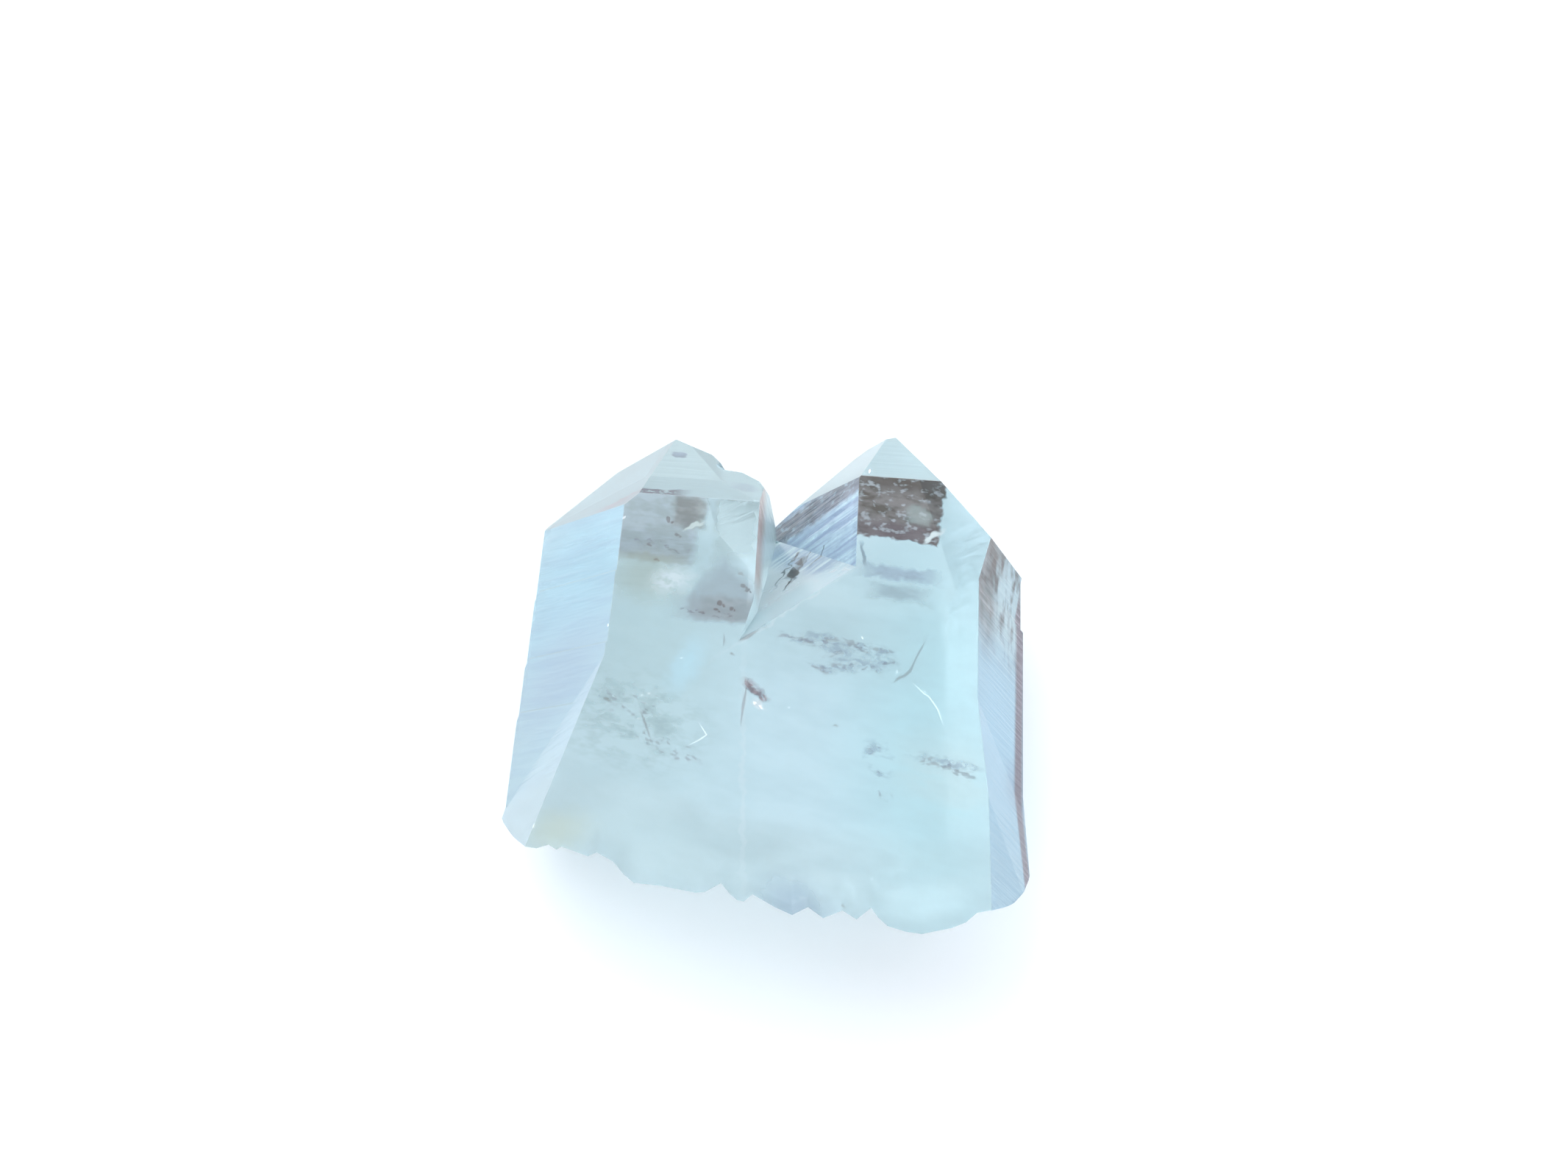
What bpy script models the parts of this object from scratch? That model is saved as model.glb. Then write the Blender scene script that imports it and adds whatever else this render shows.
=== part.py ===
# Rock crystal point: two clear quartz crystals grown together side by side, lying on their backs.
#
# Metres, +Z up. The long axes of both crystals run along +Y, the tips point to +Y and the broken
# base to -Y. The piece lies on the flat back prism faces. It grew as one piece, so it is one solid:
# flat-faced blocks are cut by the crystal's faces, joined, and broken off at the base.

import math

import bmesh
import bpy
from mathutils import Vector

MM = 0.001

# Driving dimensions, in millimetres. X runs across the pair from the groove between them.
THICKNESS = 21.0
STOCK = 160.0                      # side of the raw block that each crystal is cut from
SEAM = 0.03                        # joined blocks differ by this much, so no two of their faces share a plane

# Faces of quartz: prism faces stand 60 degrees apart around the long axis, and the end faces
# lean from them toward the tip by this angle.
LEAN = 38.2

# Front edges of the two prisms where they meet the end faces, and the far side corners.
LEFT_FRONT_LEFT = (-15.25, 1.9, THICKNESS)
LEFT_FRONT_TOP = (-10.0, 3.2, THICKNESS)
LEFT_FRONT_RIGHT = (-3.0, 3.1, THICKNESS)
LEFT_SIDE = (-23.4, 6.6, 6.4)
LEFT_TIP = (-11.3, 15.25, 11.6)
RIGHT_FRONT_LEFT = (6.1, 6.9, THICKNESS)
RIGHT_FRONT_TOP = (10.0, 6.8, THICKNESS)
RIGHT_FRONT_RIGHT = (17.1, 2.0, THICKNESS)
RIGHT_SIDE = (22.4, 0.0, 11.8)
RIGHT_TIP = (9.5, 15.9, 13.9)

# The joined body below the notch: its end face starts from this corner of the right crystal,
# and the slope that fills the notch passes through the second point.
BODY_END = (6.8, -2.9, THICKNESS)
NOTCH_END = (6.2, -2.8, THICKNESS)

# Beside the notch, the front edge of the left crystal turns aside from here down.
LEFT_TURN = (-3.0, -7.0, THICKNESS)

# The base widens at both sides from these points of the front edges.
LEFT_FLARE = (-16.6, -16.6, THICKNESS)
RIGHT_FLARE = (17.0, -13.1, THICKNESS)
RIGHT_FLARE_LOW = (18.35, -26.5, THICKNESS)

# The broken base. The outline is where the break ends at the front face, left to right.
BREAK_OUTLINE = (
    (-36.0, -25.0), (-24.0, -32.1), (-21.1, -32.2), (-19.9, -32.3), (-18.9, -31.9), (-18.2, -32.3),
    (-17.8, -32.0), (-15.5, -32.7), (-14.8, -32.3), (-13.4, -33.0), (-12.4, -34.1), (-11.5, -34.8),
    (-9.2, -34.9), (-6.3, -35.3), (-5.5, -35.2), (-4.2, -34.3), (-3.4, -35.2), (-2.8, -35.7),
    (-2.2, -35.8), (-1.5, -35.1), (0.4, -36.1), (1.9, -36.7), (3.2, -35.9), (4.5, -36.8),
    (6.1, -36.0), (7.3, -36.7), (8.5, -35.6), (9.1, -36.4), (9.9, -37.1), (11.5, -37.5),
    (12.8, -37.6), (15.3, -36.9), (16.5, -36.3), (17.4, -35.4), (18.5, -35.1), (20.0, -35.1),
    (21.3, -35.0), (22.4, -34.3), (23.1, -33.5), (24.0, -31.5), (36.0, -25.0),
)
# The same outline without its scallops, which the break follows deeper down.
BREAK_RUN = (
    (-36.0, -25.0), (-24.0, -32.1), (-14.0, -33.2), (13.0, -36.8), (20.0, -35.4), (22.4, -34.3),
    (23.1, -33.5), (24.0, -31.5), (36.0, -25.0),
)
# How far the break draws back toward the tips at each depth under the front face.
BREAK_PROFILE = ((-2.0, -1.1), (0.0, 0.0), (3.0, 1.6), (6.0, 3.3), (12.0, 6.9), (16.5, 9.5), (23.0, 13.3))
SCALLOP_DEPTHS = (3.0, 8.5)        # the scallops fade out between these depths
# The shells that the break has struck out of the base: centre across, centre depth, half width, hollow.
BREAK_SHELLS = (
    (-17.5, 11.0, 5.5, 0.9), (-12.0, 18.0, 8.0, 1.3), (-7.0, 8.5, 6.5, 0.8), (0.5, 16.0, 7.5, 1.2),
    (6.0, 9.0, 5.0, 0.7), (11.5, 18.5, 7.0, 1.1), (15.5, 9.5, 6.0, 1.0), (21.5, 15.0, 5.0, 0.9),
)
BREAK_STEP = 1.0                   # most width of one facet of the break
# Small chips where the tip of the left crystal meets its shoulder: the centre and radius of each hollow.
CHIPS = (((-6.1, 10.4, 15.9), 1.25), ((-5.3, 9.9, 15.8), 0.9))

# Low growth ledges of the left prism: where each one starts at the side, and how far it stands out.
LEFT_LEDGES = ((-0.4, 0.08), (-7.4, 0.18), (-12.8, 0.29))
BODY_OUT = 0.12                    # how much the joined body stands out of the right crystal in front
BODY_SIDE_OUT = 0.35               # and at its lower right side
RIGHT_HEAD = 0.45                  # how much wider the right crystal is beside the notch, above the body
RIGHT_HEAD_SIDE = -1.2             # its flat on the right stays this much inside the lower right face


def facing(around, lean=0.0):
    """The outward direction of a face: degrees around the long axis from straight up toward +X, then toward +Y."""
    a = math.radians(around)
    b = math.radians(lean)
    return Vector((math.sin(a) * math.cos(b), math.sin(b), math.cos(a) * math.cos(b)))


def cut_block(name, faces):
    """A closed block with one flat side for each (around, lean, point it passes through) in faces."""
    bm = bmesh.new()
    bmesh.ops.create_cube(bm, size=STOCK * MM)
    for around, lean, point in faces:
        bmesh.ops.bisect_plane(
            bm,
            geom=bm.verts[:] + bm.edges[:] + bm.faces[:],
            dist=1e-7,
            plane_co=Vector(point) * MM,
            plane_no=facing(around, lean),
            clear_outer=True,
        )
        rim = [edge for edge in bm.edges if edge.is_boundary]
        if rim:
            bmesh.ops.contextual_create(bm, geom=rim)
    bmesh.ops.recalc_face_normals(bm, faces=bm.faces)
    return as_object(name, bm)


def as_object(name, bm):
    mesh = bpy.data.meshes.new(name)
    bm.to_mesh(mesh)
    bm.free()
    made = bpy.data.objects.new(name, mesh)
    bpy.context.scene.collection.objects.link(made)
    return made


def as_tool(tool):
    """Keeps a block that only takes part in a Boolean out of the part itself."""
    tool.hide_render = True
    tool.display_type = "WIRE"
    return tool


def apply_boolean(target, tools, operation):
    """Joins or cuts with all the tools at once, and keeps the result as the target's own mesh."""
    group = bpy.data.collections.new(operation.lower())
    for tool in tools:
        group.objects.link(as_tool(tool))
    change = target.modifiers.new(operation.title(), "BOOLEAN")
    change.operand_type = "COLLECTION"
    change.collection = group
    change.operation = operation
    change.solver = "EXACT"
    graph = bpy.context.evaluated_depsgraph_get()
    result = bpy.data.meshes.new_from_object(target.evaluated_get(graph))
    target.modifiers.remove(change)
    target.data = result
    for tool in tools:
        bpy.data.objects.remove(tool)
    bpy.data.collections.remove(group)


def moved(faces, distance):
    """The same faces, each moved outward by a distance in millimetres."""
    return [
        (around, lean, tuple(Vector(point) + facing(around, lean) * distance))
        for around, lean, point in faces
    ]


FRONT_AND_BACK = [
    (0, 0, (0, 0, THICKNESS)),
    (180, 0, (0, 0, 0)),
]


def past_front_and_back(seams):
    """The two flat faces that the whole piece shares, moved out by so many seams. They are cut level at the end."""
    return moved(FRONT_AND_BACK, seams * SEAM)


LEFT_SIDES = [
    (-60, 1.0, LEFT_FRONT_LEFT),
    (-120, 0, LEFT_SIDE),
    (120, 0, (3.0, 0, 11.0)),
    (80, 0, LEFT_FRONT_RIGHT),
    (80, -12.7, LEFT_TURN),
]
LEFT_END = [
    (0, LEAN, LEFT_FRONT_TOP),
    (-48.6, 34.4, LEFT_FRONT_LEFT),
    (-120, LEAN, (-20.0, 11.0, 6.1)),
    (180, LEAN, (-17.1, 14.3, 6.0)),
    (120, LEAN, (-1.1, 7.0, 10.0)),
]
RIGHT_SIDES = [
    (-60, 0, RIGHT_FRONT_LEFT),
    (-120, 0, (-3.0, 0, 5.2)),
    (120, 0, RIGHT_SIDE),
    (60, 0, RIGHT_FRONT_RIGHT),
]
RIGHT_END = [
    (0, LEAN, RIGHT_FRONT_TOP),
    (-52.9, 36.2, (6.3, 6.9, THICKNESS)),
    (-66, 39.5, (4.6, 12.2, 12.7)),
    (-120, LEAN, (-2.0, 7.0, 6.0)),
    (-54, 62, (8.0, 15.1, 13.6)),
    (0, 72, RIGHT_TIP),
    (61.5, 36.5, (13.5, 7.0, THICKNESS)),
    (120, LEAN, (22.2, 2.3, 12.2)),
    (180, LEAN, (9.5, 15.7, 12.6)),
]


def wider(sides, out, inner):
    """The sides moved outward, but for the inner ones, which stay just inside the crystal."""
    grown = []
    for side in sides:
        grown += moved([side], -SEAM if side[0] in inner else out)
    return grown


def left_crystal():
    """Blocks of the left crystal: its blunt tip, the rounded shoulder that bulges beside it, and ledges."""
    tip = [
        (-56, 60.5, LEFT_TIP),
        (62, 56, LEFT_TIP),
        (77.5, 34.5, (-7.4, 11.8, 14.3)),
    ]
    shoulder = [
        (26, 70.7, (-5.5, 9.2, 16.3)),
        (67, 51, (-3.9, 8.2, 17.1)),
        (66.8, 32.8, (-2.9, 6.9, 18.1)),
        (86, 45, (-1.4, 7.0, 12.0)),
    ]
    wide = past_front_and_back(2) + moved(LEFT_SIDES + LEFT_END, -SEAM) + shoulder
    blocks = [
        cut_block("left_tip", past_front_and_back(1) + LEFT_SIDES + LEFT_END + tip),
        cut_block("left_shoulder", wide),
    ]
    for i, (start, out) in enumerate(LEFT_LEDGES):
        start_faces = [(-48.6, 34.4, (-23.4, start, 7.2)), (-120, 30, (-23.4, start, 7.2))]
        ledge = past_front_and_back(3 + i) + wider(LEFT_SIDES, out, (80, 120))
        ledge += moved(LEFT_END + shoulder, -SEAM * (2 + i)) + start_faces
        blocks.append(cut_block("left_ledge", ledge))
    return blocks


def right_crystal():
    """Blocks of the right crystal: a blunt ridge for a tip, one long slope to the right, a wider head."""
    head = past_front_and_back(7) + wider(RIGHT_SIDES[:2], RIGHT_HEAD, (-60, -120)) + [
        (120, 0, tuple(Vector(RIGHT_SIDE) + facing(120) * RIGHT_HEAD_SIDE)),
    ]
    head += moved(RIGHT_END, -SEAM) + [(61.3, -12.1, (18.1, 0.4, THICKNESS))]
    return [
        cut_block("right_tip", past_front_and_back(8) + RIGHT_SIDES + RIGHT_END),
        cut_block("right_head", head),
    ]


def joined_body():
    """The wider body below the notch. It carries on the right crystal and fills the groove beside the left one."""
    body = past_front_and_back(9) + [
        (60, 0, tuple(Vector(RIGHT_FRONT_RIGHT) + facing(60) * BODY_OUT)),
        (120, 0, tuple(Vector(RIGHT_SIDE) + facing(120) * BODY_SIDE_OUT)),
        (-34, 34, NOTCH_END),
        (0, LEAN, BODY_END),
        (60, 30, (20.0, -3.2, 16.0)),
        (120, 30, (22.4, -2.6, 12.0)),
        (180, LEAN, (0, -1.0, 0)),
        (-80, 0, (-14.0, 0, THICKNESS)),
    ]
    return cut_block("body", body)


def flared_base():
    """The two sides where the base grows wider than the prisms above it."""
    left = cut_block("left_flare", past_front_and_back(10) + [
        (-67.4, 14.1, LEFT_FLARE),
        (-120, 0, (-23.7, 6.6, 6.15)),
        (90, 0, (-10.0, 0, 0)),
        (0, 90, (0, -9.0, 0)),
    ])
    right = cut_block("right_flare", past_front_and_back(11) + [
        (63.5, 5.7, RIGHT_FLARE),
        (60.3, 1.6, RIGHT_FLARE_LOW),
        (120, 0, (23.15, -20.0, 11.6)),
        (120, 3.2, (22.75, -9.9, 11.9)),
        (-90, 0, (8.0, 0, 0)),
        (0, 90, (0, -6.0, 0)),
    ])
    return [left, right]


def along(line, x):
    """The height of a line of points at x."""
    for (x0, y0), (x1, y1) in zip(line, line[1:]):
        if x <= x1:
            break
    return y0 + (y1 - y0) * (x - x0) / (x1 - x0)


def evenly(line, step):
    """The x of every point of a line, with more between them where they lie far apart."""
    places = [line[0][0]]
    for (x0, _), (x1, _) in zip(line, line[1:]):
        parts = max(1, math.ceil((x1 - x0) / step))
        places += [x0 + (x1 - x0) * (i + 1) / parts for i in range(parts)]
    return places


def shell_hollow(x, depth):
    """How far the deepest shell bites in here. Where two meet, they leave a sharp ridge."""
    hollow = 0.0
    for centre_x, centre_depth, half_width, deep in BREAK_SHELLS:
        distance = math.hypot(x - centre_x, depth - centre_depth)
        hollow = max(hollow, deep * (1.0 - (distance / half_width) ** 2))
    return hollow


def break_place(x, depth):
    """A point of the broken base."""
    start, end = SCALLOP_DEPTHS
    deep = min(1.0, max(0.0, (depth - start) / (end - start)))
    y = along(BREAK_OUTLINE, x) * (1.0 - deep) + along(BREAK_RUN, x) * deep
    y += along(BREAK_PROFILE, depth) + shell_hollow(x, depth) * deep
    return Vector((x, y, THICKNESS - depth)) * MM


def break_cutter():
    """Everything on the far side of the broken base, as one closed block."""
    bm = bmesh.new()
    places = evenly(BREAK_OUTLINE, BREAK_STEP)
    depths = evenly(BREAK_PROFILE, BREAK_STEP)
    rows = [[bm.verts.new(break_place(x, depth)) for x in places] for depth in depths]
    for upper, lower in zip(rows, rows[1:]):
        for i in range(len(upper) - 1):
            bm.faces.new((upper[i], upper[i + 1], lower[i + 1], lower[i]))
    rim = [edge for edge in bm.edges if edge.is_boundary]
    grown = bmesh.ops.extrude_edge_only(bm, edges=rim)
    for item in grown["geom"]:
        if isinstance(item, bmesh.types.BMVert):
            item.co.y = -0.6 * STOCK * MM
    last = [edge for edge in bm.edges if edge.is_boundary]
    bmesh.ops.contextual_create(bm, geom=last)
    bmesh.ops.triangulate(bm, faces=bm.faces)
    bmesh.ops.recalc_face_normals(bm, faces=bm.faces)
    return as_object("break_cutter", bm)


def chip_cutters():
    """One small faceted ball for every chip. Its centre lies outside, so it leaves a shallow hollow."""
    cutters = []
    for centre, radius in CHIPS:
        bm = bmesh.new()
        bmesh.ops.create_icosphere(bm, subdivisions=2, radius=radius * MM)
        bmesh.ops.translate(bm, verts=bm.verts, vec=Vector(centre) * MM)
        cutters.append(as_object("chip", bm))
    return cutters


def clear_quartz():
    quartz = bpy.data.materials.new("clear_quartz")
    quartz.use_nodes = True
    surface = quartz.node_tree.nodes["Principled BSDF"]
    surface.inputs["Base Color"].default_value = (0.74, 0.87, 0.91, 1.0)
    surface.inputs["Roughness"].default_value = 0.08
    surface.inputs["Metallic"].default_value = 0.0
    surface.inputs["IOR"].default_value = 1.544
    surface.inputs["Transmission Weight"].default_value = 0.8
    quartz.diffuse_color = (0.74, 0.87, 0.91, 1.0)
    return quartz


def stand_centred(made):
    """Moves the mesh so that its box stands centred over the origin."""
    corners = [Vector(corner) for corner in made.bound_box]
    low = Vector([min(c[i] for c in corners) for i in range(3)])
    high = Vector([max(c[i] for c in corners) for i in range(3)])
    shift = Vector(((low.x + high.x) / 2, (low.y + high.y) / 2, low.z))
    for vert in made.data.vertices:
        vert.co -= shift


def main():
    for old in list(bpy.data.objects):
        bpy.data.objects.remove(old)
    crystal = joined_body()
    apply_boolean(crystal, left_crystal() + right_crystal() + flared_base(), "UNION")
    apply_boolean(crystal, [cut_block("level", FRONT_AND_BACK)], "INTERSECT")
    apply_boolean(crystal, [break_cutter()] + chip_cutters(), "DIFFERENCE")
    crystal.name = "twin_crystal"
    crystal.data.name = "twin_crystal"
    stand_centred(crystal)
    crystal.data.materials.clear()
    crystal.data.materials.append(clear_quartz())


main()
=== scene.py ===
# Rock crystal point: a lesson in how clear quartz gets its look, one cell at a time.

# %% [markdown]
# # Two rock crystals on one broken base
#
# The piece is two clear quartz crystals that grew together side by side. They lie on their backs, and the
# camera looks down on them. The measured solid already has every flat face, ledge and chip, so its shape is
# kept as it is. What it lacks is the look of rock crystal: clear tips, a milky lower half, faint lines
# across the prism faces, dark windows that are painted views of the ground in shadow beneath, and the veils
# and small cracks that float inside the stone.
#
# This lesson gives the solid a glass finish that changes from place to place, and then builds what floats
# inside it as thin pieces of their own.

# %% Load the measured solid
import math
import random

import bmesh
import bpy
from mathutils import Matrix, Vector


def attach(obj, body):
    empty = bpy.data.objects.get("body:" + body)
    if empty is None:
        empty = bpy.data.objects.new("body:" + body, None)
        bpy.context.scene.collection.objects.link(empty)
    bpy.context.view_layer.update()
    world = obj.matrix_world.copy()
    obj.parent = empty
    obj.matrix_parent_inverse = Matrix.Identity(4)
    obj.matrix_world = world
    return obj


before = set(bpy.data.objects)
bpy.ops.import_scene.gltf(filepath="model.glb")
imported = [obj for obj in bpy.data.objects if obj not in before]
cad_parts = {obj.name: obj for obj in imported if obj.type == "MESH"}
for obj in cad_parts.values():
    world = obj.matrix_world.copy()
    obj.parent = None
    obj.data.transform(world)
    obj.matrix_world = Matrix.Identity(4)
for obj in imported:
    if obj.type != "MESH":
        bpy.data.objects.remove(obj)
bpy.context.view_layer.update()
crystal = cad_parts["twin_crystal"]
MM = 0.001

# %% [markdown]
# ## Where the camera stands
#
# Every edge between a prism face and an end face of quartz has a known direction, so those edges give the
# angles of view: the camera looks down steeply, from a little to the left, and is rolled a few degrees.
# A camera could also be aimed with a constraint, but working out its three axes keeps the roll exact.
#
# All places in this lesson are measured in millimetres from one point: the spot on the floor under the
# groove between the two crystals, which is where the solid's own script measures from too.

# %% Camera
GROOVE = Vector((0.54, 10.56, 0.0))
FRONT_HEIGHT = 21.0
VIEW_AZIMUTH = math.radians(3.2)
VIEW_ELEVATION = math.radians(61.0)
VIEW_ROLL = math.radians(6.9)
VIEW_DISTANCE = 222.8
VIEW_TARGET_HEIGHT = 10.83
LENS = 53.95
SENSOR_WIDTH = 36.0
NEAREST_SEEN = 0.01
FARTHEST_SEEN = 20.0

forward = Vector((
    math.sin(VIEW_AZIMUTH) * math.cos(VIEW_ELEVATION),
    math.cos(VIEW_AZIMUTH) * math.cos(VIEW_ELEVATION),
    -math.sin(VIEW_ELEVATION),
))
level_right = Vector((math.cos(VIEW_AZIMUTH), -math.sin(VIEW_AZIMUTH), 0.0))
level_up = level_right.cross(forward)
right = level_right * math.cos(VIEW_ROLL) + level_up * math.sin(VIEW_ROLL)
up = level_up * math.cos(VIEW_ROLL) - level_right * math.sin(VIEW_ROLL)
target = GROOVE + Vector((0.0, 0.0, VIEW_TARGET_HEIGHT))
eye = (target - forward * VIEW_DISTANCE) * MM

camera = bpy.data.objects.new("camera", bpy.data.cameras.new("camera"))
bpy.context.scene.collection.objects.link(camera)
camera.matrix_world = Matrix.Translation(eye) @ Matrix((right, up, -forward)).transposed().to_4x4()
camera.data.lens = LENS
camera.data.sensor_width = SENSOR_WIDTH
camera.data.clip_start = NEAREST_SEEN
camera.data.clip_end = FARTHEST_SEEN
bpy.context.scene.camera = camera
print("camera at", [round(v / MM, 1) for v in eye], "mm")

# %% [markdown]
# ## A plain bright studio
#
# Clear stone shows what is around it, so the studio is part of the finish. A white floor and an even pale
# dome keep the stone light, and one broad lamp from the upper left gives the faces slightly different
# tones. The floor lies a hair below the stone, because two surfaces at the same height would trap light.

# %% Floor, dome and lamp
FLOOR_SIDE = 3.0
FLOOR_GAP = 0.0002
FLOOR_WHITE = (0.95, 0.95, 0.95, 1.0)
FLOOR_ROUGHNESS = 0.7
DOME_COLOUR = (0.89, 0.945, 1.0, 1.0)
DOME_STRENGTH = 1.36
LAMP_PLACE = Vector((-0.35, 0.15, 0.8))
LAMP_SIDE = 0.6
LAMP_POWER = 2.0


def plain_material(name, colour, roughness):
    """A new material whose Principled shader has this colour and roughness."""
    material = bpy.data.materials.new(name)
    material.use_nodes = True
    shader = material.node_tree.nodes["Principled BSDF"]
    shader.inputs["Base Color"].default_value = colour
    shader.inputs["Roughness"].default_value = roughness
    return material


def object_from(name, bm, material):
    """Turns a finished bmesh into an object with this material."""
    mesh = bpy.data.meshes.new(name)
    bm.to_mesh(mesh)
    bm.free()
    mesh.materials.append(material)
    made = bpy.data.objects.new(name, mesh)
    bpy.context.scene.collection.objects.link(made)
    return made


bm = bmesh.new()
bmesh.ops.create_grid(bm, x_segments=1, y_segments=1, size=FLOOR_SIDE / 2)
bmesh.ops.translate(bm, verts=bm.verts, vec=(0.0, 0.0, -FLOOR_GAP))
floor = object_from("floor", bm, plain_material("floor_white", FLOOR_WHITE, FLOOR_ROUGHNESS))

studio = bpy.data.worlds.new("studio")
studio.use_nodes = True
bpy.context.scene.world = studio
studio.node_tree.nodes["Background"].inputs["Color"].default_value = DOME_COLOUR
studio.node_tree.nodes["Background"].inputs["Strength"].default_value = DOME_STRENGTH

lamp = bpy.data.objects.new("lamp", bpy.data.lights.new("lamp", "AREA"))
bpy.context.scene.collection.objects.link(lamp)
lamp.location = LAMP_PLACE
lamp.rotation_euler = (-LAMP_PLACE).to_track_quat("-Z", "Y").to_euler()
lamp.data.size = LAMP_SIDE
lamp.data.energy = LAMP_POWER
bpy.context.scene.view_settings.view_transform = "Standard"
print("studio: dome", DOME_STRENGTH, "lamp", LAMP_POWER, "W")

# %% [markdown]
# ## Patterns that the finishes share
#
# Nearly every tint on this stone is one of three patterns, so each is a node group that is built once. A
# *stain* is a turned rectangle with a soft edge. A *glow* is a turned oval. *Streaks* are noise drawn out
# along one direction. Places are in millimetres, read from the object's own coordinates, so the patterns
# stay on the stone from every side. One shared ripple bends all the edges: a noise of its own in every stain
# would look the same and cost far more time.

# %% Node helpers
def shade(red, green, blue):
    """A screen colour, 0 to 255, as the linear colour that a shader takes."""
    linear = [((c / 255 + 0.055) / 1.055) ** 2.4 for c in (red, green, blue)]
    return (*linear, 1.0)


def plug(tree, socket, value):
    """Links a socket to another node's output, or gives it a plain value."""
    if isinstance(value, bpy.types.NodeSocket):
        tree.links.new(value, socket)
    else:
        socket.default_value = value


def node(tree, kind, settings=None, **values):
    """Adds a node with its own settings, and fills its sockets: _0 is the first one, Name is by name."""
    made = tree.nodes.new("ShaderNode" + kind)
    for key, value in (settings or {}).items():
        setattr(made, key, value)
    for key, value in values.items():
        plug(tree, made.inputs[int(key[1:]) if key[0] == "_" else key.replace("_", " ")], value)
    return made


def new_group(name, inputs, output):
    """A node group with these named inputs and one output. Returns it with its two end nodes."""
    group = bpy.data.node_groups.new(name, "ShaderNodeTree")
    for title, kind, value in inputs:
        socket = group.interface.new_socket(title, in_out="INPUT", socket_type="NodeSocket" + kind)
        socket.default_value = value
    group.interface.new_socket(output, in_out="OUTPUT", socket_type="NodeSocketFloat")
    return group, group.nodes.new("NodeGroupInput").outputs, group.nodes.new("NodeGroupOutput").inputs


def use_group(tree, group, **values):
    """Places a group in a material and returns its output."""
    made = tree.nodes.new("ShaderNodeGroup")
    made.node_tree = group
    for key, value in values.items():
        plug(tree, made.inputs[key.replace("_", " ")], value)
    return made.outputs[0]


# %% The stain, the glow and the streaks
STREAK_DETAIL = 2.0
STREAK_ROUGHNESS = 0.6
PATCH_INPUTS = (
    ("Place", "Vector", (0.0, 0.0, 0.0)),
    ("Stretch", "Vector", (1.0, 1.0, 0.0)),
    ("Shift", "Vector", (0.0, 0.0, 0.0)),
    ("Outer", "Float", 1.1),
    ("Inner", "Float", 0.9),
    ("Strength", "Float", 1.0),
)


def patch_pattern(name, rectangular):
    """A mask that is full inside a rectangle or an oval and fades out across its edge."""
    group, given, result = new_group(name, PATCH_INPUTS, "Mask")
    inside = node(group, "VectorMath", {"operation": "MULTIPLY_ADD"}, _0=given["Place"], _1=given["Stretch"],
                  _2=given["Shift"]).outputs[0]
    if rectangular:
        reach = node(group, "VectorMath", {"operation": "ABSOLUTE"}, _0=inside).outputs[0]
        sides = node(group, "SeparateXYZ", Vector=reach).outputs
        far = node(group, "Math", {"operation": "MAXIMUM"}, _0=sides[0], _1=sides[1]).outputs[0]
    else:
        far = node(group, "VectorMath", {"operation": "LENGTH"}, _0=inside).outputs["Value"]
    mask = node(group, "MapRange", {"interpolation_type": "SMOOTHSTEP"}, Value=far, From_Min=given["Outer"],
                From_Max=given["Inner"], To_Max=given["Strength"])
    plug(group, result[0], mask.outputs[0])
    return group


def streak_pattern():
    """Noise that is drawn out along one direction. Its value is near 0.5 and seldom below 0.3 or over 0.7."""
    group, given, result = new_group("streaks", (
        ("Place", "Vector", (0.0, 0.0, 0.0)),
        ("Turn", "Vector", (0.0, 0.0, 0.0)),
        ("Grain Size", "Vector", (1.0, 1.0, 1.0)),
    ), "Value")
    drawn = node(group, "Mapping", {"vector_type": "TEXTURE"}, Vector=given["Place"], Rotation=given["Turn"],
                 Scale=given["Grain Size"])
    grain = node(group, "TexNoise", Vector=drawn.outputs[0], Scale=1.0, Detail=STREAK_DETAIL,
                 Roughness=STREAK_ROUGHNESS)
    plug(group, result[0], grain.outputs[0])
    return group


STAIN = patch_pattern("stain", True)
GLOW = patch_pattern("glow", False)
STREAKS = streak_pattern()
print("patterns:", [group.name for group in (STAIN, GLOW, STREAKS)])

# %% [markdown]
# ## The quartz
#
# Rock crystal is clear, but it isn't empty. The glass lets most light through by plain transmission, and
# the small share that it doesn't gives the stone its milk. Absorption inside gives the pale blue-green of
# thick quartz. Such a glass alone would show little more than the studio, so the tints, stains and growth
# lines of the real stone are laid over it, and with them some painted light and shade: dark views of the
# ground through the glass, a dark shadow along one edge and a few highlights.
#
# A shared ripple bends the places a little, so that no stain has an edge as straight as a ruler.

# %% The shader and the places
QUARTZ_IOR = 1.544
CLARITY = 0.7
BODY_COLOUR = (0.74, 0.92, 1.0, 1.0)
BODY_DENSITY = 5.0
PLAIN_FACE = shade(214, 234, 240)
TIP_ROUGHNESS = 0.05
RIPPLE = 1.0
RIPPLE_GRAIN = 1.1
NOISE_MEAN = 0.5

quartz = plain_material("rock_crystal", PLAIN_FACE, TIP_ROUGHNESS)
tree = quartz.node_tree
surface = tree.nodes["Principled BSDF"]
surface.inputs["IOR"].default_value = QUARTZ_IOR
surface.inputs["Transmission Weight"].default_value = CLARITY
absorption = node(tree, "VolumeAbsorption", Color=BODY_COLOUR, Density=BODY_DENSITY)
tree.links.new(absorption.outputs[0], tree.nodes["Material Output"].inputs["Volume"])

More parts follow.
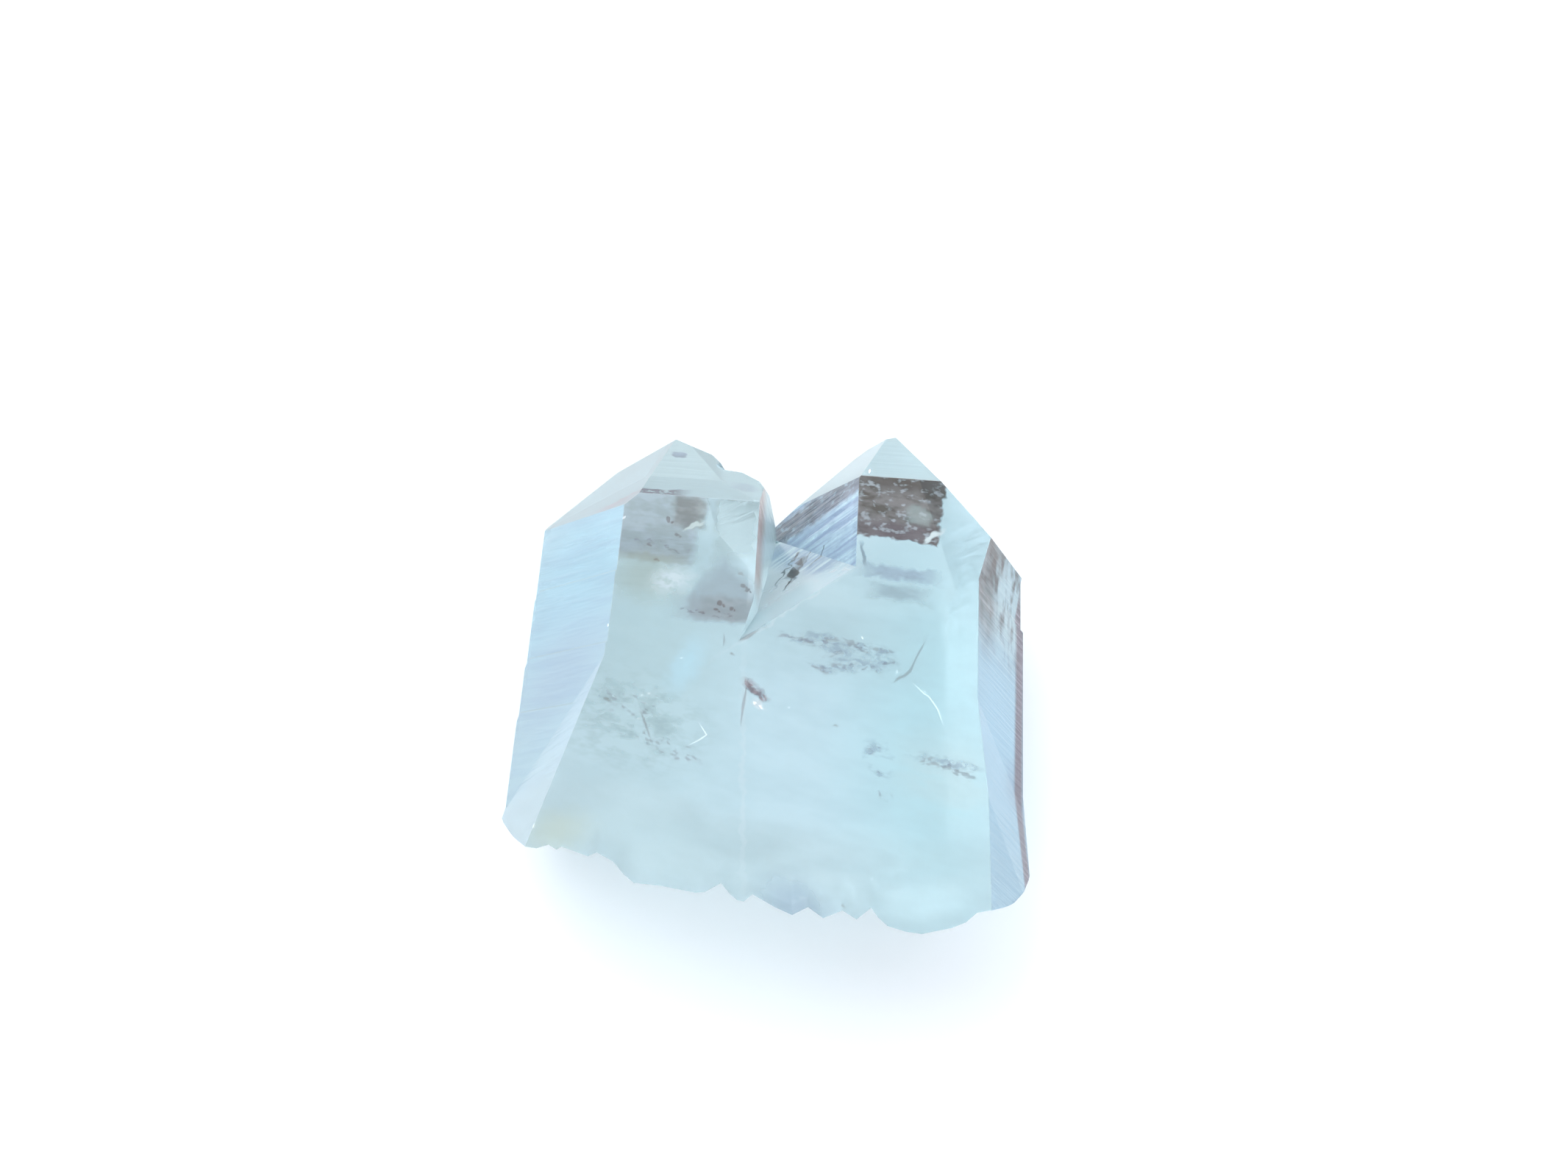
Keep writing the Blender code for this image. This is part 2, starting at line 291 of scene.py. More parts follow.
coordinates = node(tree, "TexCoord").outputs["Object"]
in_mm = node(tree, "VectorMath", {"operation": "SCALE"}, _0=coordinates, Scale=1 / MM).outputs[0]
place = node(tree, "VectorMath", {"operation": "SUBTRACT"}, _0=in_mm, _1=GROOVE).outputs[0]
ripple = node(tree, "TexNoise", Vector=place, Scale=RIPPLE_GRAIN, Detail=1.0).outputs["Color"]
shifted = node(tree, "VectorMath", {"operation": "SUBTRACT"}, _0=ripple, _1=[NOISE_MEAN] * 3).outputs[0]
bent = node(tree, "VectorMath", {"operation": "MULTIPLY_ADD"}, _0=shifted, _1=[RIPPLE] * 3,
            _2=place).outputs[0]
facing = node(tree, "SeparateXYZ", Vector=node(tree, "NewGeometry").outputs["Normal"])
facing_x = facing.outputs["X"]
facing_y = facing.outputs["Y"]
place_x, place_y, place_z = node(tree, "SeparateXYZ", Vector=place).outputs
print("shader: IOR", QUARTZ_IOR, "clarity", CLARITY, "absorption", BODY_DENSITY)

# %% [markdown]
# ### Masks and glazes
#
# A mask is a number from 0 to 1 that says how much of a tint shows at a place. It comes from a limit on a
# coordinate, from noise, or from a patch. Two masks multiplied leave only what they share.
#
# A painter would build such colours from thin glazes, one over the other, and so does this finish. Each row
# of a glaze gives the pattern, its centre, half its width and height, its turn in degrees, the softness of
# its edge, its strength and its tint.

# %% Masks and glazes
EDGE_SOFTNESS = 0.04


def level(value, low, high):
    """A mask that is 0 where a value is under the low level and 1 where it is over the high one."""
    return node(tree, "MapRange", Value=value, From_Min=low, From_Max=high).outputs[0]


def over(value, limit, softness=EDGE_SOFTNESS):
    """1 where a value is over a limit and 0 where it is under."""
    return level(value, limit - softness, limit + softness)


def under(value, limit, softness=EDGE_SOFTNESS):
    """1 where a value is under a limit and 0 where it is over."""
    return level(value, limit + softness, limit - softness)


def near(value, middle, reach):
    """1 where a value is within reach of the middle."""
    return node(tree, "Math", {"operation": "COMPARE"}, _0=value, _1=middle, _2=reach).outputs[0]


def times(first, second):
    """What two masks share."""
    return node(tree, "Math", {"operation": "MULTIPLY"}, _0=first, _1=second).outputs[0]


def larger(first, second):
    """Two masks joined."""
    return node(tree, "Math", {"operation": "MAXIMUM"}, _0=first, _1=second).outputs[0]


def mixed(amount, first, second):
    """The first colour with so much of the second laid over it."""
    return node(tree, "Mix", {"data_type": "RGBA"}, Factor=amount, _6=first, _7=second).outputs[2]


turned_places = {0: bent}


def turned(degrees):
    """The bent place, turned in the face. Patches with the same turn share one."""
    if degrees not in turned_places:
        turned_places[degrees] = node(tree, "VectorRotate", {"rotation_type": "Z_AXIS"}, Vector=bent,
                                      Angle=math.radians(-degrees)).outputs[0]
    return turned_places[degrees]


def patch(group, centre, half, turn, soft, strength=1.0):
    """A stain or a glow at a place, with half its width and height in millimetres and its turn in degrees."""
    middle = Matrix.Rotation(math.radians(-turn), 2) @ Vector(centre)
    return use_group(tree, group, Place=turned(turn), Stretch=(1 / half[0], 1 / half[1], 0.0),
                     Shift=(-middle.x / half[0], -middle.y / half[1], 0.0),
                     Outer=1.0 + soft, Inner=1.0 - soft, Strength=strength)


def glazed(colour, glazes):
    """Lays one patch after another over a colour. Each row is what patch() takes and then the tint."""
    for *shape, tint in glazes:
        colour = mixed(patch(*shape), colour, tint)
    return colour


def streaks(size, turn=0.0):
    """Drawn-out noise with this grain size in millimetres, turned in the face."""
    return use_group(tree, STREAKS, Place=place, Turn=(0.0, 0.0, math.radians(turn)), Grain_Size=size)


# Three grains serve every mottle, fleck and wisp. Each use picks its own levels of one of them.
BROAD = streaks((6.0, 2.6, 6.0), turn=-12)
MIDDLE = streaks((2.0, 1.1, 2.0), turn=-9)
FINE = streaks((0.9, 0.58, 0.9), turn=-12)
blotches = level(MIDDLE, 0.4, 0.6)
flecks = level(FINE, 0.55, 0.68)


def blotchy(pale, dark):
    """A colour that goes from a pale to a dark tone in blotches of noise. Both are screen colours."""
    return mixed(blotches, shade(*pale), shade(*dark))


print("masks: shared grains of 6, 2 and 0.9 mm")

# %% [markdown]
# ### Telling the faces apart
#
# The flat faces of a crystal catch different light, and a patch on one ends sharply at its edge. So each face
# has its own colours. Faces could be given slots of their own, but the measured solid stays as it is, and a
# mask finds each face by where it looks and where it lies.
#
# Where it lies matters inside the glass: a ray that meets a face from within sees its normal turned round.

# %% The faces
FRONT_SKIN = 0.08
TIPWARD = 0.4
SIDEWARD = 0.6
NOTCH_SIDEWARD = 0.85
BASEWARD = -0.3
LEFT_SIDE_EDGE = -13.0
RIGHT_SIDE_EDGE = 15.0
SLOPE_TOP = 5.7
SLOPE_MIDDLE_AND_REACH = (1.2, 5.5)
GROOVE_MIDDLE_AND_REACH = (2.6, 4.4)
NOTCH_MIDDLE_AND_REACH = (-1.9, 2.6)
BREAK_EDGE = -29.0
BREAK_FADE = 0.5

on_front = over(place_z, FRONT_HEIGHT - FRONT_SKIN)
to_tips = over(facing_y, TIPWARD)
to_left = under(facing_x, -SIDEWARD)
on_slope = times(under(facing_x, -TIPWARD), near(place_x, *SLOPE_MIDDLE_AND_REACH))
on_slope = times(on_slope, times(to_tips, under(place_y, SLOPE_TOP)))
on_ends = times(to_tips, under(on_slope, 0.5))
on_left_side = times(to_left, under(place_x, LEFT_SIDE_EDGE))
on_groove = times(to_left, near(place_x, *GROOVE_MIDDLE_AND_REACH))
on_right_side = times(over(facing_x, SIDEWARD), over(place_x, RIGHT_SIDE_EDGE))
on_notch_side = times(over(facing_x, NOTCH_SIDEWARD), near(place_x, *NOTCH_MIDDLE_AND_REACH))
on_break = times(under(facing_y, BASEWARD), under(place_y, BREAK_EDGE, BREAK_FADE))
print("faces told apart, nodes so far:", len(tree.nodes))

# %% [markdown]
# ### The front faces: broad tints first
#
# Between the dark places the front is a pale blue-green that drifts toward grey-green at the middle of the
# left crystal and toward clear sky blue at the lower right. One colour ramp over the whole length would be
# simpler, but it would show as a band. Wide glows that overlap keep the drift from ending anywhere.

# %% Front: broad tints
ICE = shade(232, 250, 255)
MIST = shade(208, 228, 227)
SKY = shade(216, 251, 255)
DRIFT_STRENGTH = 0.24

front = glazed(ICE, (
    (GLOW, (-12.0, -10.0), (7.0, 15.0), 0, 0.9, 0.8, MIST),
    (GLOW, (14.0, -18.0), (7.0, 19.0), 0, 0.8, 0.9, SKY),
    (GLOW, (3.0, -9.5), (7.0, 4.0), -10, 0.9, 0.45, MIST),
    (GLOW, (-10.0, -31.0), (16.0, 4.0), -10, 0.9, 0.75, shade(204, 224, 226)),
))
mottle = times(level(MIDDLE, 0.44, 0.7), patch(GLOW, (-13.0, -19.5), (5.5, 4.0), -20, 0.8, 0.75))
front = mixed(mottle, front, shade(166, 184, 182))
cloud = times(level(BROAD, 0.36, 0.56), patch(GLOW, (14.8, -23.0), (4.4, 3.2), -20, 0.8))
front = mixed(cloud, front, shade(232, 255, 255))
front = mixed(times(level(BROAD, 0.4, 0.66), DRIFT_STRENGTH), front, shade(196, 216, 219))
front = glazed(front, (
    # Painted highlight: a thin white line along the edge where the slope meets the front.
    (STAIN, (1.15, -7.15), (6.5, 0.12), 40, 0.8, 0.4, shade(252, 255, 255)),
    (GLOW, (-18.4, -30.6), (2.4, 1.6), 20, 0.95, 0.4, shade(230, 228, 186)),
    (GLOW, (2.0, -35.8), (2.6, 1.8), -30, 0.95, 0.5, shade(136, 154, 184)),
    (GLOW, (-8.5, -14.0), (1.0, 2.2), -20, 0.95, 1.0, shade(216, 246, 255)),
    (STAIN, (-3.0, -23.0), (0.18, 9.0), 3, 0.9, 0.25, shade(252, 255, 255)),
    (GLOW, (11.6, -1.0), (6.0, 4.5), 0, 0.8, 0.55, shade(186, 212, 218)),
))
print("front tinted, nodes so far:", len(tree.nodes))

# %% [markdown]
# ### The painted dark window of the right crystal
#
# Just below the end face the eye looks straight into the clear head, and on the real stone it meets the
# ground in shadow beneath the tip, seen through the back faces. That view is painted here: dark brown behind
# a sharp frame, the crystal's own edges above and at the left, and a ragged edge at the right. Pale flecks
# lie across it. Two fainter lilac bars repeat below it. On the real stone they are its own back faces, bent
# by the glass, and they change with the room around it. As painted stains they stay the same in any studio.

# %% Front: the right crystal
FLECK_STRENGTH = 0.6

# A painted view: the dark brown ground in shadow under the tip, as the glass shows it.
painted_ground_view = glazed(blotchy((116, 100, 96), (62, 48, 38)), (
    (STAIN, (10.2, 6.5), (4.2, 1.2), -5, 0.7, 0.9, shade(54, 40, 32)),
    (STAIN, (9.8, 1.0), (3.6, 1.0), -5, 0.7, 0.7, shade(90, 66, 72)),
    (GLOW, (11.7, 3.0), (1.3, 0.9), -30, 0.4, 0.6, shade(158, 164, 158)),
))
painted_ground_view = mixed(times(flecks, FLECK_STRENGTH), painted_ground_view, shade(186, 186, 190))
# The window and the two lilac bars below it are painted views through the glass.
front = glazed(front, (
    (STAIN, (9.5, 4.85), (4.4, 4.55), -5, 0.03, 1.0, painted_ground_view),
    (STAIN, (10.0, -3.3), (2.9, 0.6), -5, 0.6, 0.75, blotchy((160, 172, 192), (134, 142, 164))),
    (STAIN, (10.1, -5.3), (2.3, 0.7), -5, 0.7, 0.6, blotchy((164, 176, 184), (138, 148, 158))),
    (STAIN, (6.7, -1.5), (0.16, 1.1), 10, 0.5, 0.8, shade(120, 134, 148)),
    (GLOW, (13.0, 0.9), (1.1, 0.3), 40, 0.4, 0.9, shade(250, 255, 252)),
))
print("shaded window laid, nodes so far:", len(tree.nodes))

# %% [markdown]
# ### The grey windows of the left crystal
#
# The left crystal has a fainter window of its own at the upper left, darker and browner in its far corner,
# and a grey triangle under it with a crisp lower edge. Like the right one, the window and its brown corner
# are a painted view of the dark ground beneath, seen through the glass. The triangle is what a straight
# stain and a turned one have in common, which is simpler than a pattern of its own. A bright spot lies
# between the two.

# %% Front: the left crystal
front = glazed(front, (
    # The window and its brown corner: a painted view of the dark ground beneath, seen through the glass.
    (STAIN, (-12.7, 0.7), (4.3, 4.4), -5, 0.12, 0.6, blotchy((182, 178, 186), (150, 142, 142))),
    (GLOW, (-12.2, -2.4), (4.0, 1.5), -5, 0.6, 0.2, shade(132, 130, 124)),
    (STAIN, (-9.3, 1.6), (1.4, 1.6), 0, 0.3, 0.75, blotchy((158, 146, 140), (122, 110, 102))),
    (GLOW, (-8.8, 0.2), (1.0, 0.22), 30, 0.4, 0.85, shade(244, 252, 244)),
    (STAIN, (-12.4, -3.5), (3.0, 0.4), 0, 0.6, 0.5, shade(172, 170, 152)),
    (GLOW, (-12.6, -5.4), (2.8, 2.2), 0, 0.7, 0.5, shade(190, 188, 164)),
    (STAIN, (-4.9, 0.3), (1.9, 3.2), 0, 0.3, 0.6, shade(192, 204, 200)),
))
triangle = times(patch(STAIN, (-5.4, -6.0), (3.4, 3.5), 0, 0.12, 0.66),
                 patch(STAIN, (-5.4, -9.6), (4.6, 4.6), 50, 0.25))
front = mixed(triangle, front, shade(164, 164, 170))
front = glazed(front, (
    (STAIN, (-6.6, -8.2), (3.0, 1.15), 0, 0.5, 0.4, shade(164, 156, 158)),
    (STAIN, (-5.3, -8.2), (2.3, 1.25), -5, 0.18, 0.3, blotchy((176, 166, 162), (128, 116, 110))),
))
bright_spot = times(level(FINE, 0.24, 0.5), patch(GLOW, (-10.4, -5.6), (1.6, 1.1), 20, 0.8))
front = mixed(bright_spot, front, shade(250, 255, 255))
print("grey windows laid, nodes so far:", len(tree.nodes))

# %% [markdown]
# ### Wisps
#
# A row of grey-lilac wisps crosses the middle of the right crystal, and a dark cleft sits where the two
# crystals join. Painting each wisp would take dozens of patches. Instead two grains multiplied make wisps
# everywhere, and a few ovals say where they may show.

# %% Front: wisps and the cleft
WISPS = (
    ((1.2, -10.7), (1.4, 0.45), -10), ((4.2, -11.0), (2.2, 0.9), -20), ((8.1, -11.6), (2.0, 1.0), -20),
    ((3.3, -13.3), (1.3, 0.4), -20), ((6.2, -12.9), (2.6, 0.65), 0), ((14.6, -21.7), (2.9, 0.55), -10),
    ((8.7, -22.0), (1.0, 1.8), 20),
)
WISP_STRENGTH = 0.6
WISP_SOFTNESS = 0.5

wisp = times(level(MIDDLE, 0.42, 0.58), level(FINE, 0.36, 0.58))
where_wisps_show = 0.0
for centre, half, turn in WISPS:
    where_wisps_show = larger(where_wisps_show, patch(GLOW, centre, half, turn, WISP_SOFTNESS))
front = mixed(times(times(wisp, where_wisps_show), WISP_STRENGTH), front, shade(144, 152, 172))
cleft = mixed(level(FINE, 0.44, 0.56), shade(190, 164, 170), shade(128, 110, 122))
front = glazed(front, (
    (GLOW, (-2.3, -16.1), (1.3, 0.42), -40, 0.5, 0.75, cleft),
    # Painted highlight: the white flash at the lower end of the crack.
    (GLOW, (-1.9, -17.5), (0.7, 0.35), -40, 0.5, 0.9, shade(255, 255, 255)),
))
print("wisps laid in", len(WISPS), "places, nodes so far:", len(tree.nodes))

# %% [markdown]
# ### The side faces and the break
#
# The left side face is the bluest, with shallow growth bands that slope across it. The upper right side is
# brown with pale streaks, and a purple-brown painted shadow runs along its edge lower down and along the
# right end of the break. The steep side of the notch has a pink tinge near its top.
#
# The painted shadow along that edge could be one more patch, but the edge climbs, so it is a band between
# two heights that climb with it.

# %% The side faces and the break
BAND_STRENGTH = 0.35
RIM_CLIMB = 0.02
RIM_HEIGHT = 13.0
RIM_HEIGHT_FADE = 0.25
RIM_FOOT = 11.2
RIM_FOOT_FADE = 0.5
RIM_END = 0.0
RIM_END_FADE = 2.0
# Painted shadow: a dark purple-brown edge along the lower right side and the right end of the break.
PAINTED_RIM_SHADOW = shade(104, 78, 94)
PINK_HEIGHT = 17.4
PINK_END = -5.0
PINK_FADE = 1.5
DARK_BREAK_EDGE = 8.0
DARK_BREAK_FADE = 3.0

growth = level(streaks((14.0, 0.55, 14.0)), 0.38, 0.66)
left_growth = level(streaks((12.0, 0.8, 12.0), turn=-32), 0.38, 0.66)
left_side = glazed(shade(214, 238, 248), (
    (GLOW, (-18.5, -1.0), (8.0, 9.0), 0, 0.8, 0.9, shade(192, 236, 255)),
    (GLOW, (-19.6, -12.0), (3.6, 4.5), 20, 0.9, 0.7, shade(192, 208, 230)),
))
left_side = mixed(times(left_growth, BAND_STRENGTH), left_side, shade(172, 196, 224))
left_side = glazed(left_side, (
    (GLOW, (-21.5, -28.5), (5.0, 4.5), 0, 0.8, 0.85, shade(182, 206, 214)),
))

side_streaks = level(streaks((0.7, 2.6, 2.0)), 0.38, 0.56)
brown_side = mixed(side_streaks, shade(66, 44, 38), shade(206, 222, 228))
right_side = glazed(shade(192, 214, 224), (
    (GLOW, (20.0, -20.0), (6.0, 18.0), 0, 0.8, 1.0, shade(186, 220, 244)),
    (GLOW, (20.5, -33.0), (5.0, 8.0), 0, 0.8, 0.8, shade(160, 196, 218)),
    (STAIN, (20.0, -0.5), (6.0, 7.0), -5, 0.5, 0.92, brown_side),
    (GLOW, (18.0, -1.6), (1.3, 6.8), 0, 0.6, 0.85, blotchy((138, 122, 122), (66, 46, 42))),
    (GLOW, (18.8, 1.6), (1.5, 2.2), 0, 0.7, 0.7, shade(92, 68, 60)),
    (GLOW, (21.8, -20.4), (1.3, 2.4), 0, 0.6, 0.5, shade(150, 164, 190)),
))
# The band of painted shadow along the lower right edge.
climbed = node(tree, "Math", {"operation": "MULTIPLY_ADD"}, _0=place_y, _1=RIM_CLIMB, _2=place_z).outputs[0]
rim_shadow = times(under(climbed, RIM_HEIGHT, RIM_HEIGHT_FADE), over(climbed, RIM_FOOT, RIM_FOOT_FADE))
rim_shadow = times(rim_shadow, under(place_y, RIM_END, RIM_END_FADE))
right_side = mixed(rim_shadow, right_side, PAINTED_RIM_SHADOW)

pink = times(over(place_z, PINK_HEIGHT, PINK_FADE), over(place_y, PINK_END, PINK_FADE))
notch_side = mixed(pink, shade(240, 255, 255), shade(216, 172, 160))
# The right end of the break gets the same painted shadow.
break_shadow = over(place_x, DARK_BREAK_EDGE, DARK_BREAK_FADE)
rough_break = mixed(break_shadow, shade(226, 238, 240), PAINTED_RIM_SHADOW)
print("side faces tinted, nodes so far:", len(tree.nodes))

# %% [markdown]
# ### The groove, the slope and the ends
#
# The face in the groove is striped in lilac and light blue under a dark band, and a bright slope fills the
# end of the notch below it, with a few dark blots. The end faces are nearly bare: they look at the pale dome,
# and its reflection does most of the work. Only the left crystal has a dark purplish band along the foot of
# its end.

# %% The groove, the slope and the ends
GROOVE_WISP_STRENGTH = 0.45
NOTCH_BLOTS = (
    ((0.6, -1.1), (0.4, 0.9), -20), ((1.25, 0.7), (0.28, 0.9), -20), ((0.1, -2.9), (0.1, 1.0), -20),
    ((0.0, -0.2), (0.08, 2.6), -20), ((1.5, 0.2), (0.08, 3.0), -20), ((3.2, 1.15), (0.09, 1.8), -30),
)
BLOT_SOFTNESS = 0.5
BLOT_STRENGTH = 0.85
LEFT_END_TURN = -0.3
LEFT_END_FOOT = 1.0
LEFT_END_FOOT_FADE = 0.5
LEFT_END_BACK = 6.4
LEFT_END_BACK_FADE = 0.3

groove = mixed(growth, shade(154, 170, 204), shade(216, 242, 255))
groove = mixed(times(wisp, GROOVE_WISP_STRENGTH), groove, shade(140, 158, 190))
groove_dark_band = mixed(flecks, blotchy((122, 116, 128), (78, 70, 76)), shade(170, 182, 194))
groove = glazed(groove, (
    (STAIN, (3.0, 6.6), (5.0, 1.35), 0, 0.25, 0.92, groove_dark_band),
))

slope_lines = level(streaks((7.0, 0.5, 7.0), turn=46), 0.46, 0.6)
slope_stripes = mixed(slope_lines, shade(160, 182, 208), shade(232, 250, 255))
slope = glazed(shade(252, 255, 255), (
    (STAIN, (2.4, 0.8), (2.3, 6.0), 40, 0.6, 1.0, slope_stripes),
    (STAIN, (0.9, -6.0), (7.2, 1.3), 40, 0.5, 0.8, shade(236, 252, 255)),
))
slope = mixed(times(flecks, patch(STAIN, (4.6, -2.8), (2.4, 1.0), 40, 0.5)), slope, shade(255, 255, 255))
for centre, half, turn in NOTCH_BLOTS:
    slope = mixed(patch(STAIN, centre, half, turn, BLOT_SOFTNESS, BLOT_STRENGTH), slope, shade(52, 54, 54))

left_end = times(under(facing_x, LEFT_END_TURN), over(place_y, LEFT_END_FOOT, LEFT_END_FOOT_FADE))
left_end = times(left_end, over(place_z, LEFT_END_BACK, LEFT_END_BACK_FADE))
ends = mixed(left_end, shade(190, 209, 210), shade(90, 136, 146))
ends = glazed(ends, (
    (GLOW, (10.0, 11.5), (7.5, 4.6), 0, 0.5, 0.7, shade(174, 202, 208)),
))
left_end_dark_band = times(level(FINE, 0.36, 0.5), patch(STAIN, (-13.8, 3.7), (3.7, 0.6), 0, 0.3))
ends = mixed(left_end_dark_band, ends, shade(66, 54, 72))
ends = glazed(ends, (
    (GLOW, (-16.3, 3.3), (2.0, 0.6), -27, 0.6, 0.8, shade(84, 70, 92)),
    (GLOW, (-10.9, 12.0), (0.85, 0.45), -30, 0.3, 0.9, blotchy((126, 140, 160), (92, 104, 126))),
    (GLOW, (-4.4, 5.9), (1.2, 0.8), -20, 0.4, 0.5, shade(150, 160, 170)),
))
print("groove, slope and ends tinted, nodes so far:", len(tree.nodes))

# %% [markdown]
# ### Milk, growth lines and bump
#
# Now the faces come together in one colour. The tips are as glossy as window glass, and roughness grows
# toward the base, where the real stone is full of tiny veils and looks milky.
#
# Growing quartz leaves fine lines across its prism faces, never along them. They could be modelled, but they
# are only about a tenth of a millimetre deep, so a bump from the same streaks as the colour is enough.

# %% Milk, growth lines and bump
MILK_EDGE = -10.0
MILK_FADE = 9.0
BASE_ROUGHNESS = 0.26
LINE_DEPTH = 0.00012
BUMP_STRENGTH = 0.3

colour = PLAIN_FACE
for face, finish in ((on_left_side, left_side), (on_right_side, right_side), (on_groove, groove),
                     (on_notch_side, notch_side), (on_break, rough_break), (on_ends, ends), (on_slope, slope),
                     (on_front, front)):
    colour = mixed(face, colour, finish)
tree.links.new(colour, surface.inputs["Base Color"])
milk = larger(under(place_y, MILK_EDGE, MILK_FADE), larger(on_slope, on_notch_side))
roughness = node(tree, "MapRange", Value=milk, To_Min=TIP_ROUGHNESS, To_Max=BASE_ROUGHNESS)
tree.links.new(roughness.outputs[0], surface.inputs["Roughness"])

smooth_faces = larger(to_tips, on_front)
lines = node(tree, "MapRange", Value=on_left_side, To_Min=growth, To_Max=left_growth).outputs[0]
line_height = node(tree, "MapRange", Value=smooth_faces, To_Min=lines, To_Max=0.0).outputs[0]
bump = node(tree, "Bump", Strength=BUMP_STRENGTH, Distance=LINE_DEPTH, Height=line_height)
tree.links.new(bump.outputs[0], surface.inputs["Normal"])

crystal.data.materials.clear()
crystal.data.materials.append(quartz)
print("quartz:", len(tree.nodes), "nodes")

# %% [markdown]
# ## What floats inside
#
# Natural quartz holds healed cracks. Each one is a sheet of tiny bubbles and films, and from above it shows
# as a wisp of grey-lilac specks, a dark hairline or a white spark, depending on how it lies to the light.
# They could be painted on the face, but then they would slide with it when the stone is turned. Thin ragged
# flakes set at their own depths stay where they belong from every side.
#
# Looking in through the front, the glass bends the view, so a flake has to be set a little farther along
# than where it is seen.

# %% Thin flakes and hairlines
SIGHT_ACROSS = 0.0184
SIGHT_ALONG = 0.330
FLAKE_SIDES = 9
FLAKE_THICKNESS = 0.03
FLAKE_ROUGHNESS = 0.4
ROUGHNESS_SPREAD = 0.2
SPECKLES_PER_METRE = 1200.0
SPECKLE_DEPTH = 0.7
HAIR_END = 0.15
HAIR_THINNEST = 0.6
HAIR_SPREAD = 0.8
SHORTEST_FLAKE = 0.3
SIDEWAYS_REACH = 0.45
FLAKE_WIDTHS = (0.25, 0.6)
TURN_SPREAD = 22
TILT_SPREAD = 14

dice = random.Random(7)


def inside(x, y, depth):
    """The place inside the stone that is seen at this point of the front face, in metres."""
    seen = Vector((x + SIGHT_ACROSS * depth, y + SIGHT_ALONG * depth, FRONT_HEIGHT - depth))
    return (seen + GROOVE) * MM


def add_flake(bm, centre, length, width, turn, tilt, jag=0.45):
    """A thin ragged disc, turned in the face and tilted out of it. Millimetres and degrees."""
    made = bmesh.ops.create_circle(bm, cap_ends=True, segments=FLAKE_SIDES, radius=1.0)
    for vert in made["verts"]:
        vert.co *= 1.0 - jag * dice.random()
    lay = (Matrix.Translation(centre) @ Matrix.Rotation(math.radians(turn), 4, "Z")
           @ Matrix.Rotation(math.radians(tilt), 4, "X")
           @ Matrix.Diagonal((length / 2 * MM, width / 2 * MM, 1.0, 1.0)))
    bmesh.ops.transform(bm, matrix=lay, verts=made["verts"])


def add_hairline(bm, points, width, depth):
    """A thin ribbon through these points that narrows to both ends."""
    upper = []
    lower = []
    for i, (x, y) in enumerate(points):
        before = Vector(points[max(i - 1, 0)])
        after = Vector(points[min(i + 1, len(points) - 1)])
        along = (after - before).normalized()
        if i in (0, len(points) - 1):
            half = width / 2 * HAIR_END
        else:
            half = width / 2 * (HAIR_THINNEST + HAIR_SPREAD * dice.random())
        upper.append(bm.verts.new(inside(x - along.y * half, y + along.x * half, depth)))
        lower.append(bm.verts.new(inside(x + along.y * half, y - along.x * half, depth)))
    for i in range(len(points) - 1):
        bm.faces.new((lower[i], lower[i + 1], upper[i + 1], upper[i]))


def scatter(bm, path, reach, count, longest, turn, depths):
    """Many small flakes along a path, within reach of it."""
    for _ in range(count):
        step = dice.random() * (len(path) - 1)
        i = min(int(step), len(path) - 2)
        x, y = Vector(path[i]).lerp(Vector(path[i + 1]), step - i)
        length = longest * (SHORTEST_FLAKE + (1 - SHORTEST_FLAKE) * dice.random() ** 2)
        centre = inside(x + dice.gauss(0, reach), y + dice.gauss(0, reach * SIDEWAYS_REACH),
                        dice.uniform(*depths))
        add_flake(bm, centre, length, length * dice.uniform(*FLAKE_WIDTHS),
                  turn + dice.gauss(0, TURN_SPREAD), dice.gauss(0, TILT_SPREAD))


def speckle(material, colour):
    """Gives the material of a small piece an uneven tone and gloss."""
    nodes = material.node_tree
    shader = nodes.nodes["Principled BSDF"]
    own_place = node(nodes, "TexCoord").outputs["Object"]
    grain = node(nodes, "TexNoise", Vector=own_place, Scale=SPECKLES_PER_METRE, Detail=2.0).outputs[0]
    darker = (*(SPECKLE_DEPTH * c for c in colour[:3]), 1.0)
    tone = node(nodes, "Mix", {"data_type": "RGBA"}, Factor=grain, _6=darker, _7=colour)
    plug(nodes, shader.inputs["Base Color"], tone.outputs[2])
    gloss = node(nodes, "MapRange", Value=grain, To_Min=FLAKE_ROUGHNESS - ROUGHNESS_SPREAD,
                 To_Max=FLAKE_ROUGHNESS + ROUGHNESS_SPREAD)
    plug(nodes, shader.inputs["Roughness"], gloss.outputs[0])


def finish_piece(name, bm, colour, glint=0.0):
    """Gives the sheets their thickness and hangs them in the stone. A glint throws back more than it gets."""
    bmesh.ops.triangulate(bm, faces=bm.faces)
    bmesh.ops.solidify(bm, geom=bm.faces[:], thickness=FLAKE_THICKNESS * MM)
    bmesh.ops.recalc_face_normals(bm, faces=bm.faces)
    material = plain_material(name, colour, FLAKE_ROUGHNESS)
    speckle(material, colour)
    shader = material.node_tree.nodes["Principled BSDF"]
    shader.inputs["Emission Color"].default_value = colour
    shader.inputs["Emission Strength"].default_value = glint
    made = object_from(name, bm, material)
    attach(made, "root")
    print(name, len(made.data.polygons), "triangles")


# %% [markdown]
# ### Veils, hairlines, specks and sparks
#
# A veil follows the line of an old crack, so its flakes are scattered along a path. Specks are little dark
# crumbs, each a flake with a smaller one beside it. Sparks are flakes that happen to face the light, and a
# mirror finish would show them from one side only, so a little emission stands in for the glint.

